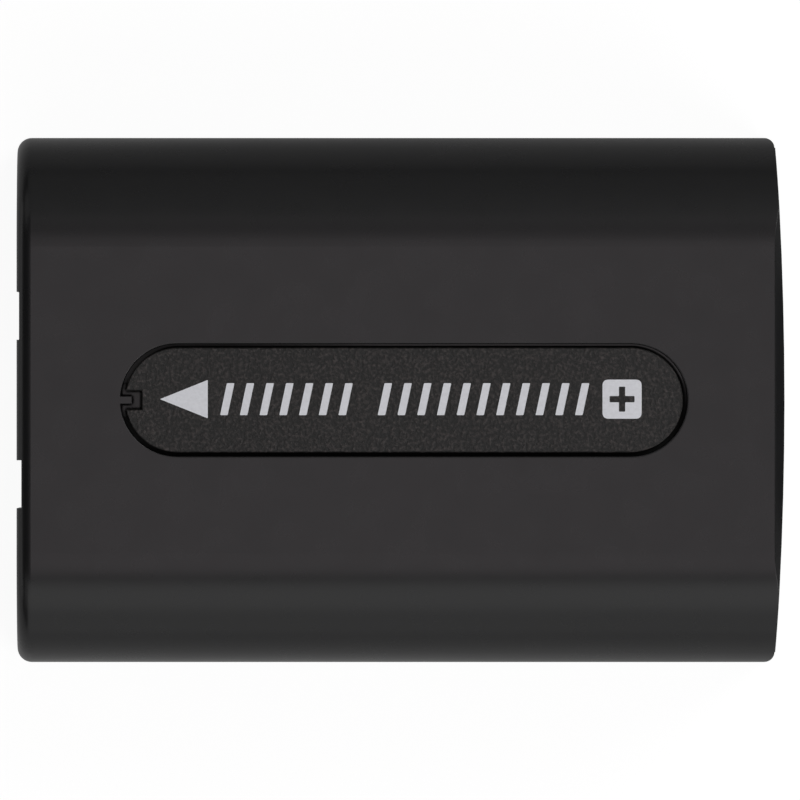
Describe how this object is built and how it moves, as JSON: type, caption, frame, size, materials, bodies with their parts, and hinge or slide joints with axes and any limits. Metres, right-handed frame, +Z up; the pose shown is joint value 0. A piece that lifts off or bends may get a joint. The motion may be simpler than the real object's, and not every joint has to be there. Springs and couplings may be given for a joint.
{
  "type": "camera battery",
  "caption": "Slim slide-on camera battery: rounded black case halves, a keyed label plate, slotted fork terminals and hook notches, with cells and a protection board inside.",
  "frame": {"origin": "bottom centre of the pack as it lies on its mount face", "axes": "+X along the length, away from the terminals; +Y across the pack; +Z up from the mount face to the label face"},
  "size_m": [0.0456, 0.0312, 0.0185],
  "materials": {
    "case_plastic": "satin black moulded plastic",
    "plate_plastic": "dull black plastic with a fine spark-eroded grain",
    "adhesive_film": "black double-sided film",
    "can_steel": "nickel-plated drawn steel",
    "sleeve_film": "shrunk plastic sleeve",
    "fibre_sheet": "grey vulcanised fibre",
    "nickel_strip": "rolled nickel",
    "foam": "closed-cell foam",
    "board_laminate": "green-lacquered glass-fibre board",
    "holder_plastic": "black glass-filled plastic",
    "contact_gold": "gold-plated spring bronze",
    "chip_resin": "black moulded resin",
    "part_ceramic": "fired ceramic with tinned ends"
  },
  "bodies": {
    "root": {"top_case": "case_plastic", "bottom_case": "case_plastic", "label_plate": "plate_plastic", "plate_film": "adhesive_film", "cell_1": "can_steel", "cell_2": "can_steel", "sleeve_1": "sleeve_film", "sleeve_2": "sleeve_film", "washer_1": "fibre_sheet", "washer_2": "fibre_sheet", "end_insulator": "fibre_sheet", "series_link": "nickel_strip", "positive_strip": "nickel_strip", "negative_strip": "nickel_strip", "sense_strip": "nickel_strip", "end_pad": "foam", "circuit_board": "board_laminate", "terminal_holder": "holder_plastic", "terminal_positive": "contact_gold", "terminal_negative": "contact_gold", "terminal_data": "contact_gold", "protection_ic": "chip_resin", "mosfet_pair": "chip_resin", "data_chip": "chip_resin", "fuse": "part_ceramic", "chip_resistors": "part_ceramic", "chip_capacitors": "part_ceramic"}
  },
  "joints": []
}
